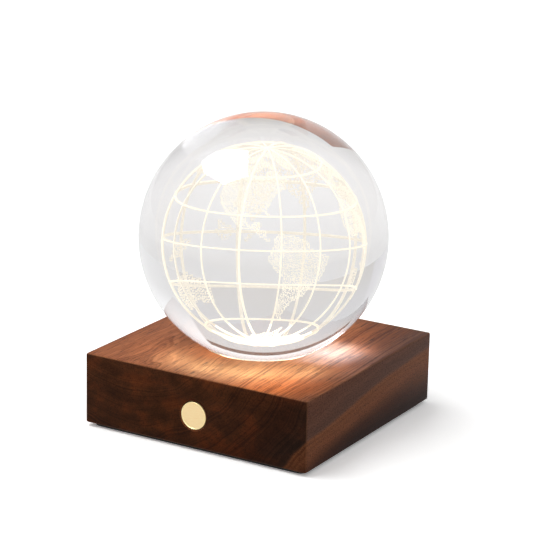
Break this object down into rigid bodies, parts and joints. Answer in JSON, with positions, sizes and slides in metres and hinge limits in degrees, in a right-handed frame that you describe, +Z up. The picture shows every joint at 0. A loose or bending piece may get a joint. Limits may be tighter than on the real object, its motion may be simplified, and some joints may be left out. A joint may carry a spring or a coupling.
{
  "type": "crystal table lamp",
  "caption": "Rechargeable table lamp: a clear crystal ball with a globe engraved inside rests on a lit seat in a square walnut block with a brass push button.",
  "frame": {"origin": "centre of the underside of the anti-slip pad, on the table", "axes": "+Z up through the ball, -Y out of the face with the push button, +Y out of the face with the charging port"},
  "size_m": [0.1, 0.1, 0.123],
  "materials": {
    "walnut": "oiled walnut, satin",
    "crystal": "polished optical crystal",
    "brass": "satin, polished rim",
    "black_abs": "fine moulded texture",
    "white_abs": "moulded, satin",
    "pad_rubber": "matt foamed rubber",
    "silicone": "clear silicone, satin",
    "opal_acrylic": "opal, gloss",
    "solder_mask": "white solder mask",
    "phosphor": "yellow phosphor under clear resin",
    "aluminium": "rolled sheet",
    "battery_foil": "laminated pouch foil",
    "foam_tape": "foam",
    "spring_steel": "drawn wire",
    "green_board": "solder mask over glass epoxy",
    "chip_epoxy": "moulded epoxy",
    "ferrite": "sintered, matt",
    "nylon": "moulded, satin",
    "zinc_steel": "zinc plated",
    "red_pvc": "extruded",
    "black_pvc": "extruded"
  },
  "bodies": {
    "base": {"walnut_block": "walnut", "bottom_cover": "black_abs", "anti_slip_pad": "pad_rubber", "seat_cup": "white_abs", "ball_gasket": "silicone", "diffuser": "opal_acrylic", "spacer_ring": "white_abs", "led_board": "solder_mask", "led_1": "phosphor", "led_2": "phosphor", "led_3": "phosphor", "led_4": "phosphor", "led_5": "phosphor", "led_6": "phosphor", "heat_plate": "aluminium", "battery_cell": "battery_foil", "battery_tape": "foam_tape", "button_guide": "black_abs", "switch_body": "black_abs", "main_board": "green_board", "charger_chip": "chip_epoxy", "driver_chip": "chip_epoxy", "inductor": "ferrite", "led_connector": "nylon", "battery_connector": "nylon", "charge_connector": "nylon", "port_bezel": "black_abs", "usb_shell": "zinc_steel", "usb_tongue": "black_abs", "usb_board": "green_board", "charge_led": "phosphor", "charge_light_pipe": "opal_acrylic", "cover_screw_1": "zinc_steel", "cover_screw_2": "zinc_steel", "cover_screw_3": "zinc_steel", "cover_screw_4": "zinc_steel", "cup_screw_1": "zinc_steel", "cup_screw_2": "zinc_steel", "cup_screw_3": "zinc_steel", "heat_plate_screw_1": "zinc_steel", "heat_plate_screw_2": "zinc_steel", "heat_plate_screw_3": "zinc_steel", "board_screw_1": "zinc_steel", "board_screw_2": "zinc_steel", "usb_board_screw_1": "zinc_steel", "usb_board_screw_2": "zinc_steel", "guide_screw_1": "zinc_steel", "guide_screw_2": "zinc_steel", "led_lead_red": "red_pvc", "led_lead_black": "black_pvc", "battery_lead_red": "red_pvc", "battery_lead_black": "black_pvc", "charge_lead_red": "red_pvc", "charge_lead_black": "black_pvc"},
    "button": {"button_cap": "brass", "button_stem": "black_abs", "return_spring": "spring_steel", "switch_actuator": "white_abs"},
    "crystal": {"crystal_ball": "crystal"}
  },
  "joints": [
    {"name": "ball_lift", "type": "slide", "parent": "base", "child": "crystal", "axis": [0, 0, 1], "range_m": [0, 0.12]},
    {"name": "button_press", "type": "slide", "parent": "base", "child": "button", "axis": [0, 1, 0], "range_m": [0, 0.001], "stiffness_N_per_m": 600, "springref_m": -0.0015, "deforming": ["return_spring"]}
  ]
}
